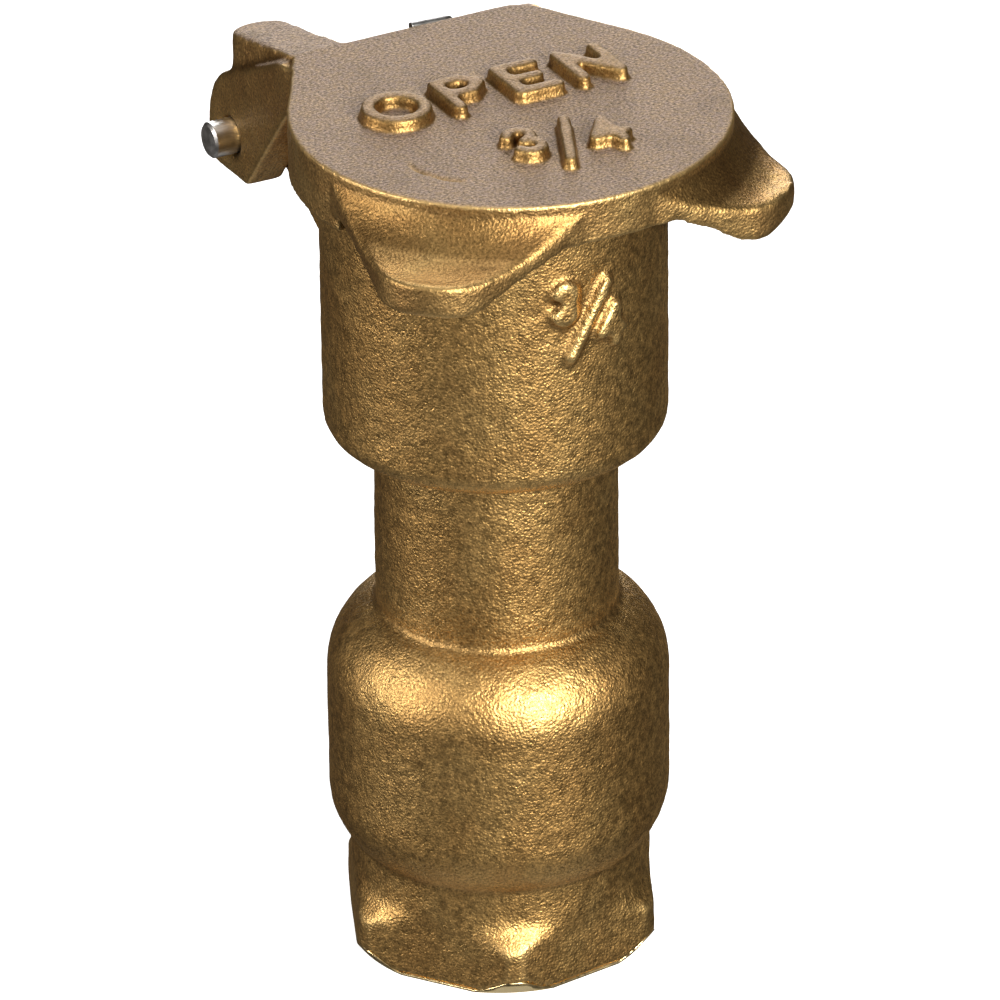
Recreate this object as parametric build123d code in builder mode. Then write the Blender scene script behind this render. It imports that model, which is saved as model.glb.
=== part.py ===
from build123d import *
import math
import os

# Quick coupling valve, 3/4 in, cast brass, with a sprung hinged cover.
# Frame: +Z up the valve axis from the inlet face, the hinge toward +Y, its pin along X.

os.makedirs("parts", exist_ok=True)

# ---------------------------------------------------------------- driving dimensions, mm
H_TOTAL = 108.0          # inlet face to the cover's flat top

# inlet: 3/4-14 NPT female in a hexagon
HEX_AF = 35.6            # at the inlet face
HEX_DRAFT = 0.6          # the flats lean in toward the hexagon's top, in degrees
HEX_TOP = 8.6
HEX_TURN = 6.7           # azimuth of one hexagon corner from +X
R_HEX_CORNER = 19.95     # the corners are turned down to this
R_HEX_FACE = 18.43       # and to this at the inlet face
R_HEX_BACK = 18.1        # and to this at the hexagon's top
Z_CORNER_LOW = 2.1
Z_CORNER_HIGH = 6.1
R_ROUND = 18.0           # round stretch above the hexagon
R_CORE = 16.8            # the wall inside the hexagon
R_NPT_MINOR = 12.2
R_NPT_MOUTH = 14.2
NPT_PITCH = 25.4 / 14
NPT_START = 2.0
NPT_END = 14.8
NPT_GROOVE_DEPTH = 0.75
NPT_GROOVE_MOUTH = 0.41  # half the groove's width at the wall
NPT_GROOVE_ROOT = 0.05   # half its width at the bottom
NPT_RUNOUT = 0.15        # the groove's cutter stands this far inside the wall

# chamber, shoulder and neck
R_BULGE = 20.35
Z_BULGE_LOW = 19.9
Z_BULGE_HIGH = 35.15
BULGE_FOOT_R = 9.25
SHOULDER_R = 9.7
R_NECK = 14.4
R_CHAMBER = 16.6
Z_CHAMBER_LOW = 20.6
Z_CHAMBER_WALL_LOW = 24.6
Z_CHAMBER_WALL_HIGH = 36.6
Z_CHAMBER_ROOF = 41.6
R_CHAMBER_ROOF = 12.7

# seat and the neck's bore for the key's tube
R_SEAT = 10.2
Z_SEAT = 40.9            # the seat's lip, which faces down
Z_SEAT_TOP = 44.4
R_TUBE_BORE = 11.5

# groove of the retaining ring under the spring guide
R_GUIDE_GROOVE = 13.05
Z_GUIDE_GROOVE = 16.3
GUIDE_GROOVE_W = 1.15

# cup
R_CUP = 20.25
Z_CUP_LOW = 67.2
Z_CUP_TOP = 104.1
R_CUP_BORE = 13.4        # flange at the mouth
R_CUP_WELL = 14.0        # below the flange
Z_FLANGE_LOW = 95.6
R_SEAL_POCKET = 12.6
Z_SEAL_POCKET = 68.2
R_SEAL_GROOVE = 13.3
Z_SEAL_GROOVE = 73.05
SEAL_GROOVE_W = 1.1
Z_CUP_FLOOR = 74.6
R_TRACK = 16.9
LUG_WIDTH = 8.0
TRACK_WIDTH = 7.0
TRACK_LAP = 1.0          # the tracks' cutter stands this far inside the flange's bore
TRACK_DROP = 8.0
TRACK_TURN = 150.0
Z_TRACK_START = 79.0     # centre of the track's low end

# cast corners of the body
CUP_CORNER = 2.6
SHOULDER_CORNER = 3.0
FOOT_CORNER = 1.2
NECK_CORNER = 0.5
CUP_LIP = 0.6

# hinge
PIN_Y = 36.8
PIN_Z = 92.5
R_PIN = 2.2
LUG_IN = 7.0             # the body's two lugs, from here
LUG_OUT = 10.0           # to here, each side of the middle
R_LUG = 5.2
Y_LUG_ROOT = 14.5
Z_LUG_LOW = 79.5
Z_LUG_HIGH = 97.0

# cover
COVER_X = 1.5            # the cover stands to one side by its play on the pin
COVER_Y = -1.7
R_COVER = 25.7
PLATE_T = 3.6
RIM_DEPTH = 5.3
SKIRT_DEPTH = 7.3
R_RIM_IN = 22.9
Y_OPEN = 16.0            # the rim and skirt are open behind this
Y_SKIRT = -7.0           # and the skirt is cut shallow ahead of this
Y_REAR = 23.8
REAR_HALF = 15.0         # half the length of the straight rear edge
FLARE_X = 22.25          # where the plate's sides leave the circle, from its centre
FLARE_Y = 12.8
REAR_CORNER = 5.0
EAR_REACH_NEAR = 28.2    # of the ear at -X, which is the longer one
EAR_REACH_FAR = 26.6
EAR_START = 24.9
EAR_ROUND = 8.0
EAR_DROP = 5.4
EAR_TRIM = 3.9           # the ears end this far short of the square corner
EAR_T = 4.8
EAR_EDGE = 1.7           # how far the ear's lower edge is rounded off
R_EAR_ROOT = 24.3
R_DISH = 25.3            # the ears' dish starts here
DISH_MIDDLE = (27.6, 4.1)    # a point of the dish: radius, and depth below the top
ARM_IN = 12.0            # hinge arms, measured from the cover's middle plane
ARM_OUT = 17.1
ARM_REAR = 6.1           # the arms end this far behind the pin
ARM_BELOW = 5.2          # and this far below it
ARM_CORNER_HIGH = 8.0
ARM_CORNER_LOW = 4.3
ARM_CORNER_FRONT = 3.6
TAB_LEFT = -13.7
TAB_RIGHT = -7.0
TAB_SPLAY = 1.6          # the tab leans this much to -X at its end
TAB_ROOT_FLAT = 6.0
TAB_END = 39.4
TAB_FALL = 2.7           # the tab's top falls this much to its end
Z_TAB_LOW = 101.0
TAB_ROOT = 4.0
PIN_FIT = 0.07
PIN_PROUD = 2.9          # the pin stands this far out of the near arm

# valve and its guide
R_VALVE = 11.9
Z_DISC_LOW = 35.4
R_STEM = 2.2
R_STUD = 1.6
GUIDE_LOW = 17.4
GUIDE_T = 2.0

# cast lettering
LETTER_H = 1.6
LETTER_STROKE = 1.8
WORD_X = -14.3           # the word starts here
WORD_Y = -0.6            # and stands on this line
WORD_SIZE = 6.6          # height between the strokes' middles
WORD_GAP = 3.3

# size mark on the front of the cup
MARK_AT = (1.4, 89.2)
MARK_PROUD = 0.9

# hinge pin and its clip
PIN_CHAMFER = 0.3
CLIP_T = 0.8
CLIP_OUT = 4.2           # radius of the clip
CLIP_IN = 2.5            # radius of its opening, before the three feet
CLIP_FOOT = 0.99
CLIP_GROOVE = 0.6        # depth of the groove the feet stand in
PIN_END = 1.2            # length of pin beyond the clip

# cover spring
R_COIL = 3.7
R_COIL_WIRE = 0.45
COIL_PITCH = 1.3
COIL_START = (0.57, -0.82)      # where the coil begins about the pin, as Y and Z parts
COIL_TURNS = 6 + 104 / 360
COIL_X = 0.8                    # middle of the coil
BODY_LEG_END = (20.6, 78.0)     # Y and Z of the body leg's foot, on the cup's back wall
HOOK_X = 7.6
HOOK_LENGTH = 5.4
HOOK_BEND = 0.9

# key seal in the cup's floor, with its retaining ring and washer
RING_T = 1.0             # both retaining rings
RING_GAP = 4.0
R_EYE = 1.3
R_EYE_HOLE = 0.6
Z_SEAL_LOW = 69.2
Z_SEAL_HIGH = 72.9
R_KEY_TUBE = 9.9
R_WASHER_IN = 10.4
R_WASHER_OUT = 12.55

# valve disc, washer and nut
R_WASHER_CUP = 11.5      # the valve disc's cup, which the seat washer fills
Z_CUP_BASE = 37.9
PLATE_HEIGHT = 1.2       # of the small plate that clamps the washer
R_SMALL_PLATE = 9.2
R_STEM_COLLAR = 3.8
NUT_AF = 5.5
NUT_HEIGHT = 2.4

# spider that guides the stem
R_GUIDE = 12.1
R_GUIDE_RING_IN = 10.5
R_HUB = 7.4
R_SPIGOT = 4.9           # it centres the spring
SPIGOT_HEIGHT = 2.2
ARM_WIDTH = 3.4

# compression spring under the valve disc
SPRING_R = 6.2
SPRING_WIRE_R = 0.6
SPRING_TURNS = 5.5
SPRING_GAP = 0.02


def arc_angle(step, radius):
    """Angle that a tangent arc turns through while it moves sideways by step."""
    return math.degrees(math.acos(1 - step / radius))


def around(radius, turn):
    """The point at this radius and turn about the sketch's origin."""
    return (radius * math.cos(math.radians(turn)), radius * math.sin(math.radians(turn)))


def stroke(start, end, width):
    """One round-ended straight stroke of a cast letter, in the current sketch."""
    dx = end[0] - start[0]
    dy = end[1] - start[1]
    middle = ((start[0] + end[0]) / 2, (start[1] + end[1]) / 2)
    with Locations(middle):
        SlotCenterToCenter(math.hypot(dx, dy), width, rotation=math.degrees(math.atan2(dy, dx)))


def strokes(points, width, place, size):
    """A chain of strokes through the given points of a glyph."""
    spots = [(place[0] + x * size, place[1] + y * size) for x, y in points]
    for start, end in zip(spots, spots[1:]):
        stroke(start, end, width)


def bowl(centre, radius, begin, turn, width):
    """A round stroke about the given centre, with round ends."""
    with BuildLine():
        middle_line = CenterArc(centre, radius, begin, turn)
    trace(middle_line, line_width=width)
    with Locations(middle_line @ 0, middle_line @ 1):
        Circle(width / 2)


def size_mark(centre, three_at, four_at, slash, height, width):
    """The size mark 3/4 about centre, its slash from -slash to +slash."""
    x, y = centre
    r = (height - width) / 4
    bowl((x + three_at[0], y + three_at[1] - r), r, -170, 260, width)
    bowl((x + three_at[0], y + three_at[1] + r), r, -90, 250, width)
    strokes([(-slash[0], -slash[1]), slash], width, centre, 1)
    four = [(0.14, -0.5), (0.14, 0.5), (-0.34, -0.16), (0.36, -0.16)]
    strokes(four, width, (x + four_at[0], y + four_at[1]), height - width)


# ---------------------------------------------------------------- body: one casting
# pipe thread, a V groove that winds up the inlet's wall
with BuildPart() as thread_groove:
    thread_helix = Pos(0, 0, NPT_START) * Helix(NPT_PITCH, NPT_END - NPT_START, R_NPT_MINOR)
    with BuildSketch(Plane(thread_helix @ 0, x_dir=(1, 0, 0), z_dir=thread_helix % 0)):
        with BuildLine():
            Polyline(
                (-NPT_RUNOUT, -NPT_GROOVE_MOUTH),
                (NPT_GROOVE_DEPTH, -NPT_GROOVE_ROOT),
                (NPT_GROOVE_DEPTH, NPT_GROOVE_ROOT),
                (-NPT_RUNOUT, NPT_GROOVE_MOUTH),
                (-NPT_RUNOUT, -NPT_GROOVE_MOUTH),
            )
        make_face()
    sweep(path=thread_helix, is_frenet=True)

# hexagon, its corners turned away above and below
with BuildPart() as hexagon:
    with BuildSketch(Plane.XY):
        RegularPolygon(HEX_AF / 2, 6, major_radius=False, rotation=HEX_TURN)
    extrude(amount=HEX_TOP, taper=HEX_DRAFT)
    with BuildSketch(Plane.XZ):
        with BuildLine():
            Polyline(
                (0, 0),
                (R_HEX_FACE, 0),
                (R_HEX_CORNER, Z_CORNER_LOW),
                (R_HEX_CORNER, Z_CORNER_HIGH),
                (R_HEX_BACK, HEX_TOP),
                (0, HEX_TOP),
                (0, 0),
            )
        make_face()
    revolve(axis=Axis.Z, mode=Mode.INTERSECT)

# the size mark on the front of the cup
with BuildPart() as cup_mark:
    with BuildSketch(Plane((0, 0, 0), x_dir=(1, 0, 0), z_dir=(0, -1, 0))):
        size_mark(MARK_AT, (-3.2, 2.7), (3.1, -1.4), (2.45, 4.3), 5.6, 1.3)
    extrude(amount=R_CUP + 2)
    with BuildSketch(Plane.XY.offset(Z_CUP_LOW)):
        Circle(R_CUP + MARK_PROUD)
        Circle(R_CUP - 1.0, mode=Mode.SUBTRACT)
    extrude(amount=Z_CUP_TOP - Z_CUP_LOW, mode=Mode.INTERSECT)

# slots that let the key's two lugs down into the cup
with BuildPart() as lug_slots:
    with BuildSketch(Plane.XY.offset(Z_TRACK_START + TRACK_DROP)):
        Rectangle(2 * R_TRACK, LUG_WIDTH)
    extrude(amount=Z_CUP_TOP)
    with BuildSketch(Plane.XY.offset(Z_TRACK_START)):
        Circle(R_TRACK)
    extrude(amount=Z_CUP_TOP, mode=Mode.INTERSECT)

# two spiral tracks that pull the key down as it turns
r_track_low = R_CUP_BORE - TRACK_LAP
track_lead = TRACK_DROP * 360 / TRACK_TURN
with BuildPart() as spiral_tracks:
    for start_turn in (0, 180):
        begin = Rot(0, 0, start_turn - TRACK_TURN)
        track = Helix(track_lead, TRACK_DROP, (R_TRACK + r_track_low) / 2)
        helix = begin * Pos(0, 0, Z_TRACK_START) * track
        radial = (begin * Location((1, 0, 0))).position
        with BuildSketch(Plane(helix @ 0, x_dir=radial, z_dir=helix % 0)):
            Rectangle(R_TRACK - r_track_low, TRACK_WIDTH)
        sweep(path=helix, is_frenet=True)

# where the chamber's foot and shoulder arcs end
foot_turn = arc_angle(R_BULGE - R_ROUND, BULGE_FOOT_R)
shoulder_turn = arc_angle(R_BULGE - R_NECK, SHOULDER_R)
z_foot = Z_BULGE_LOW - BULGE_FOOT_R * math.sin(math.radians(foot_turn))
z_shoulder = Z_BULGE_HIGH + SHOULDER_R * math.sin(math.radians(shoulder_turn))

with BuildPart() as body:
    # outside of the casting
    with BuildSketch(Plane.XZ):
        with BuildLine():
            Polyline(
                (R_ROUND, z_foot),
                (R_ROUND, HEX_TOP - 0.4),
                (R_CORE, HEX_TOP - 0.4),
                (R_CORE, 0),
                (0, 0),
                (0, Z_CUP_TOP),
                (R_CUP, Z_CUP_TOP),
                (R_CUP, Z_CUP_LOW),
                (R_NECK, Z_CUP_LOW),
                (R_NECK, z_shoulder),
            )
            JernArc((R_BULGE, Z_BULGE_HIGH), (0, 1), SHOULDER_R, shoulder_turn)
            Line((R_BULGE, Z_BULGE_HIGH), (R_BULGE, Z_BULGE_LOW))
            JernArc((R_BULGE, Z_BULGE_LOW), (0, -1), BULGE_FOOT_R, -foot_turn)
        profile = make_face()
        corners = profile.vertices()
        fillet(corners.sort_by_distance((R_CUP, Z_CUP_LOW))[0], CUP_CORNER)
        fillet(corners.sort_by_distance((R_NECK, z_shoulder))[0], SHOULDER_CORNER)
        fillet(corners.sort_by_distance((R_ROUND, z_foot))[0], FOOT_CORNER)
        fillet(corners.sort_by_distance((R_NECK, Z_CUP_LOW))[0], NECK_CORNER)
    revolve(axis=Axis.Z)

    add(hexagon.part)

    # two lugs that carry the pin
    with BuildSketch(Plane.YZ.offset(LUG_IN)):
        with BuildLine():
            Polyline(
                (Y_LUG_ROOT, Z_LUG_HIGH),
                (PIN_Y - 9, Z_LUG_HIGH),
                (PIN_Y, PIN_Z + R_LUG),
                (PIN_Y, PIN_Z),
                (PIN_Y - 3.3, PIN_Z - 4.1),
                (18, Z_LUG_LOW),
                (Y_LUG_ROOT, Z_LUG_LOW),
                (Y_LUG_ROOT, Z_LUG_HIGH),
            )
        make_face()
        with Locations((PIN_Y, PIN_Z)):
            Circle(R_LUG)
    lug = extrude(amount=LUG_OUT - LUG_IN)
    mirror(lug, about=Plane.YZ)

    add(cup_mark.part)

    # waterway from the inlet face up to the seat, and the cup above it
    with BuildSketch(Plane.XZ):
        with BuildLine():
            Polyline(
                (0, -1),
                (R_NPT_MOUTH, -1),
                (R_NPT_MINOR, 1.1),
                (R_NPT_MINOR, Z_GUIDE_GROOVE),
                (R_GUIDE_GROOVE, Z_GUIDE_GROOVE),
                (R_GUIDE_GROOVE, Z_GUIDE_GROOVE + GUIDE_GROOVE_W),
                (R_NPT_MINOR, Z_GUIDE_GROOVE + GUIDE_GROOVE_W),
                (R_NPT_MINOR, Z_CHAMBER_LOW),
                (R_CHAMBER, Z_CHAMBER_WALL_LOW),
                (R_CHAMBER, Z_CHAMBER_WALL_HIGH),
                (R_CHAMBER_ROOF, Z_CHAMBER_ROOF),
                (R_SEAT + 1.3, Z_CHAMBER_ROOF),
                (R_SEAT + 1.0, Z_SEAT),
                (R_SEAT + 0.3, Z_SEAT),
                (R_SEAT, Z_SEAT + 0.3),
                (R_SEAT, Z_SEAT_TOP),
                (R_TUBE_BORE, Z_SEAT_TOP + 0.8),
                (R_TUBE_BORE, Z_SEAL_POCKET),
                (R_SEAL_POCKET, Z_SEAL_POCKET),
                (R_SEAL_POCKET, Z_SEAL_GROOVE),
                (R_SEAL_GROOVE, Z_SEAL_GROOVE),
                (R_SEAL_GROOVE, Z_SEAL_GROOVE + SEAL_GROOVE_W),
                (R_SEAL_POCKET, Z_SEAL_GROOVE + SEAL_GROOVE_W),
                (R_SEAL_POCKET, Z_CUP_FLOOR),
                (R_CUP_WELL, Z_CUP_FLOOR + 0.5),
                (R_CUP_WELL, Z_FLANGE_LOW),
                (R_CUP_BORE, Z_FLANGE_LOW + 0.5),
                (R_CUP_BORE, Z_CUP_TOP - 0.8),
                (R_CUP_BORE + 1.8, Z_CUP_TOP + 1),
                (0, Z_CUP_TOP + 1),
                (0, -1),
            )
        make_face()
    revolve(axis=Axis.Z, mode=Mode.SUBTRACT)

    add(thread_groove.part, mode=Mode.SUBTRACT)
    add(lug_slots.part, mode=Mode.SUBTRACT)
    add(spiral_tracks.part, mode=Mode.SUBTRACT)

    # pin hole through both lugs
    with BuildSketch(Plane.YZ.offset(-LUG_OUT - 1)):
        with Locations((PIN_Y, PIN_Z)):
            Circle(R_PIN)
    extrude(amount=2 * LUG_OUT + 2, mode=Mode.SUBTRACT)

    cup_rim = body.edges().filter_by(GeomType.CIRCLE).group_by(Axis.Z)[-1]
    fillet(cup_rim.sort_by(SortBy.RADIUS)[-1], CUP_LIP)

body.part.label = "body"
export_step(body.part, "parts/body.step")

# ---------------------------------------------------------------- cover: one casting
z_plate = H_TOTAL - PLATE_T
z_rim = H_TOTAL - RIM_DEPTH
z_skirt = H_TOTAL - SKIRT_DEPTH
z_ear = H_TOTAL - EAR_DROP
z_ear_low = z_ear - EAR_T
cover_axis = Axis((COVER_X, COVER_Y, 0), (0, 0, 1))
cover_side = Plane((COVER_X, COVER_Y, 0), x_dir=(1, 0, 0), z_dir=(0, -1, 0))



def ear(side, reach):
    """A rounded front corner of a square plate, dished down and outward."""
    tip_r = reach * math.sqrt(2) - EAR_TRIM
    with BuildPart() as corner:
        with BuildSketch(Plane.XY.offset(z_ear_low)):
            with BuildLine():
                Polyline(
                    (COVER_X, COVER_Y),
                    (COVER_X, COVER_Y - EAR_START),
                    (COVER_X + side * reach, COVER_Y - reach),
                    (COVER_X + side * EAR_START, COVER_Y),
                    (COVER_X, COVER_Y),
                )
            make_face()
        extrude(amount=H_TOTAL - z_ear_low)
        fillet(corner.edges().filter_by(Axis.Z).sort_by(Axis.Y)[0], EAR_ROUND)
        with BuildSketch(cover_side):
            with BuildLine():
                ThreePointArc(
                    (R_DISH, H_TOTAL - 0.01),
                    (DISH_MIDDLE[0], H_TOTAL - DISH_MIDDLE[1]),
                    (tip_r, z_ear),
                )
                Polyline(
                    (tip_r, z_ear),
                    (tip_r, z_ear_low + 1.5 * EAR_EDGE),
                    (tip_r - 0.4 * EAR_EDGE, z_ear_low + 0.6 * EAR_EDGE),
                    (tip_r - EAR_EDGE, z_ear_low),
                    (tip_r - 2 * EAR_EDGE, z_ear_low + 0.3),
                    (R_COVER + 0.6, z_rim - 0.1),
                    (R_EAR_ROOT, z_rim),
                    (R_EAR_ROOT, H_TOTAL - 0.01),
                    (R_DISH, H_TOTAL - 0.01),
                )
            make_face()
        revolve(axis=cover_axis, mode=Mode.INTERSECT)
    return corner.part


near_ear = ear(-1, EAR_REACH_NEAR)
far_ear = ear(1, EAR_REACH_FAR)

# tab at the rear edge over the near arm, round at its end, its top falling to the rear
with BuildPart() as tab:
    with BuildSketch(Plane.XY.offset(Z_TAB_LOW)) as tab_plan:
        with BuildLine():
            Polyline(
                (TAB_LEFT, Y_REAR - 3.5),
                (TAB_LEFT - TAB_SPLAY, TAB_END),
                (TAB_RIGHT - TAB_SPLAY / 2, TAB_END),
                (TAB_RIGHT, Y_REAR - 0.4),
                (TAB_RIGHT + TAB_ROOT_FLAT, Y_REAR - 0.4),
                (TAB_RIGHT + TAB_ROOT_FLAT, Y_REAR - 3.5),
                (TAB_LEFT, Y_REAR - 3.5),
            )
        make_face()
        tab_corners = tab_plan.vertices()
        fillet(tab_corners.group_by(Axis.Y)[-1], (TAB_RIGHT - TAB_LEFT) / 2)
        fillet(tab_corners.sort_by_distance((TAB_RIGHT, Y_REAR - 0.4))[0], TAB_ROOT)
    extrude(amount=H_TOTAL - Z_TAB_LOW)
    with BuildSketch(Plane.YZ.offset(TAB_LEFT - TAB_SPLAY - 1)):
        with BuildLine():
            Polyline(
                (Y_REAR - 3.5, Z_TAB_LOW),
                (Y_REAR - 3.5, H_TOTAL),
                (Y_REAR - 0.4, H_TOTAL),
                (TAB_END, H_TOTAL - TAB_FALL),
                (TAB_END, Z_TAB_LOW),
                (Y_REAR - 3.5, Z_TAB_LOW),
            )
        make_face()
    extrude(amount=TAB_RIGHT + TAB_ROOT_FLAT - TAB_LEFT + TAB_SPLAY + 2, mode=Mode.INTERSECT)

with BuildPart() as cover:
    # plate with a rim below it, its sides running straight to a straight rear edge
    with BuildSketch(Plane.XY.offset(z_skirt)) as plate:
        with Locations((COVER_X, COVER_Y)):
            Circle(R_COVER)
        with BuildLine():
            Polyline(
                (COVER_X - FLARE_X, COVER_Y + FLARE_Y),
                (COVER_X - REAR_HALF, Y_REAR),
                (COVER_X + REAR_HALF, Y_REAR),
                (COVER_X + FLARE_X, COVER_Y + FLARE_Y),
                (COVER_X, COVER_Y),
                (COVER_X - FLARE_X, COVER_Y + FLARE_Y),
            )
        make_face()
        with Locations((COVER_X, Y_REAR + 10)):
            Rectangle(2 * R_COVER, 20, mode=Mode.SUBTRACT)
        fillet(plate.vertices().group_by(Axis.Y)[-1].sort_by(Axis.X)[-1], REAR_CORNER)
    extrude(amount=SKIRT_DEPTH)

    # hollow under the plate, open at the back, and the rim cut shallow at the front
    with BuildSketch(Plane.XY.offset(z_skirt)):
        with Locations((COVER_X, COVER_Y)):
            Circle(R_RIM_IN)
        with Locations((COVER_X, Y_OPEN + 10)):
            Rectangle(2 * R_COVER + 10, 20)
    extrude(amount=z_plate - z_skirt, mode=Mode.SUBTRACT)
    with BuildSketch(Plane.XY.offset(z_skirt)):
        with Locations((COVER_X, Y_SKIRT - 20)):
            Rectangle(2 * R_COVER + 10, 40)
    extrude(amount=z_rim - z_skirt, mode=Mode.SUBTRACT)

    add(near_ear)
    add(far_ear)

    # two hinge arms that reach back and down to the pin
    for arm_left in (COVER_X - ARM_OUT, COVER_X + ARM_IN):
        with BuildSketch(Plane.YZ.offset(arm_left)) as arm_side:
            with BuildLine():
                Polyline(
                    (14.6, z_plate + 1),
                    (19.6, H_TOTAL - 0.2),
                    (24.5, H_TOTAL - 0.9),
                    (PIN_Y + ARM_REAR, 97.9),
                    (PIN_Y + ARM_REAR, PIN_Z - ARM_BELOW),
                    (33.2, PIN_Z - ARM_BELOW),
                    (22.5, 100.8),
                    (18.8, 102.4),
                    (18.8, z_plate + 0.2),
                    (14.6, z_plate + 1),
                )
            make_face()
            arm_corners = arm_side.vertices()
            rear_high = arm_corners.sort_by_distance((PIN_Y + ARM_REAR, 97.9))[0]
            rear_low = arm_corners.sort_by_distance((PIN_Y + ARM_REAR, PIN_Z - ARM_BELOW))[0]
            front_low = arm_corners.sort_by_distance((33.2, PIN_Z - ARM_BELOW))[0]
            fillet(rear_high, ARM_CORNER_HIGH)
            fillet(rear_low, ARM_CORNER_LOW)
            fillet(front_low, ARM_CORNER_FRONT)
        extrude(amount=ARM_OUT - ARM_IN)

    add(tab.part)

    # pin holes, with running clearance
    with BuildSketch(Plane.YZ.offset(COVER_X - ARM_OUT - 1)):
        with Locations((PIN_Y, PIN_Z)):
            Circle(R_PIN + PIN_FIT)
    extrude(amount=2 * ARM_OUT + 2, mode=Mode.SUBTRACT)

    # raised lettering: a generic word and the valve's size
    with BuildSketch(Plane.XY.offset(H_TOTAL)):
        with Locations((WORD_X + WORD_SIZE / 2, WORD_Y + WORD_SIZE / 2)):
            Circle(WORD_SIZE / 2 + LETTER_STROKE / 2)
            Circle(WORD_SIZE / 2 - LETTER_STROKE / 2, mode=Mode.SUBTRACT)
        letters = [
            [(0.0, 0.0), (0.0, 1.0), (0.5, 1.0), (0.74, 0.76), (0.5, 0.5), (0.0, 0.5)],
            [(0.7, 1.0), (0.0, 1.0), (0.0, 0.0), (0.7, 0.0)],
            [(0.0, 0.0), (0.0, 1.0), (0.74, 0.0), (0.74, 1.0)],
        ]
        letter_x = WORD_X + WORD_SIZE + WORD_GAP
        for letter in letters:
            strokes(letter, LETTER_STROKE, (letter_x, WORD_Y), WORD_SIZE)
            letter_x += 0.72 * WORD_SIZE + WORD_GAP
        cross_bar = WORD_X + 1.72 * WORD_SIZE + 2 * WORD_GAP
        strokes([(0.0, 0.5), (0.55, 0.5)], LETTER_STROKE, (cross_bar, WORD_Y), WORD_SIZE)
        size_mark((2.2, -14.0), (-4.6, 1.8), (4.9, -0.4), (2.1, 4.7), 7.2, 1.6)
    extrude(amount=LETTER_H)

cover.part.label = "cover"
export_step(cover.part, "parts/cover.step")

# ---------------------------------------------------------------- hinge pin and its clip
pin_near = COVER_X - ARM_OUT - PIN_PROUD
clip_x = COVER_X + ARM_OUT + 0.3
pin_far = clip_x + CLIP_T + PIN_END

with BuildPart() as hinge_pin:
    with BuildSketch(Plane.YZ.offset(pin_near)):
        with Locations((PIN_Y, PIN_Z)):
            Circle(R_PIN)
    extrude(amount=pin_far - pin_near)
    chamfer(hinge_pin.faces().filter_by(GeomType.PLANE).edges(), PIN_CHAMFER)
    with BuildSketch(Plane.YZ.offset(clip_x - 0.02)):
        with Locations((PIN_Y, PIN_Z)):
            Circle(R_PIN + 1)
            Circle(R_PIN - CLIP_GROOVE, mode=Mode.SUBTRACT)
    extrude(amount=CLIP_T + 0.04, mode=Mode.SUBTRACT)

hinge_pin.part.label = "hinge_pin"
export_step(hinge_pin.part, "parts/hinge_pin.step")

with BuildPart() as pin_clip:
    with BuildSketch(Plane(origin=(clip_x, PIN_Y, PIN_Z), x_dir=(0, 1, 0), z_dir=(1, 0, 0))):
        Circle(CLIP_OUT)
        Circle(CLIP_IN, mode=Mode.SUBTRACT)
        with Locations((0, -3)):
            Rectangle(3.0, 6, mode=Mode.SUBTRACT)
        for turn in (0, 90, 180):
            with Locations(around(2.1, turn)):
                Rectangle(CLIP_FOOT, 1.6, rotation=turn)
    extrude(amount=CLIP_T)

pin_clip.part.label = "pin_clip"
export_step(pin_clip.part, "parts/pin_clip.step")

# ---------------------------------------------------------------- cover spring
coil_length = COIL_TURNS * COIL_PITCH
coil_left = COIL_X - coil_length / 2
coil_plane = Plane((coil_left, PIN_Y, PIN_Z), x_dir=(0, *COIL_START), z_dir=(1, 0, 0))
hook_y = Y_REAR + R_COIL_WIRE + 0.12
with BuildPart() as cover_spring:
    coil = coil_plane.location * Helix(COIL_PITCH, coil_length, R_COIL)
    with BuildSketch(Plane(coil @ 0, z_dir=coil % 0)):
        Circle(R_COIL_WIRE)
    sweep(path=coil, is_frenet=True)
    # one leg rests on the cup's back wall
    with BuildLine() as body_leg:
        Line(coil @ 0, (coil_left, *BODY_LEG_END))
    with BuildSketch(Plane(body_leg.line @ 0, z_dir=body_leg.line % 0)):
        Circle(R_COIL_WIRE)
    sweep(path=body_leg.line)
    # the other pushes forward on the cover's rear edge and ends in a hook along it
    with BuildLine() as cover_leg:
        FilletPolyline(
            coil @ 1,
            (HOOK_X, hook_y, H_TOTAL - 0.5),
            (HOOK_X - HOOK_LENGTH, hook_y, H_TOTAL - 0.3),
            radius=HOOK_BEND,
        )
    with BuildSketch(Plane(cover_leg.line @ 0, z_dir=cover_leg.line % 0)):
        Circle(R_COIL_WIRE)
    sweep(path=cover_leg.line)

cover_spring.part.label = "cover_spring"
export_step(cover_spring.part, "parts/cover_spring.step")


def turned_part(node, profile_points):
    """A turned piece: its half profile in X and Z, revolved about the valve axis."""
    with BuildPart() as turned_piece:
        with BuildSketch(Plane.XZ):
            with BuildLine():
                Polyline(*profile_points, profile_points[0])
            make_face()
        revolve(axis=Axis.Z)
    turned_piece.part.label = node
    export_step(turned_piece.part, f"parts/{node}.step")


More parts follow.
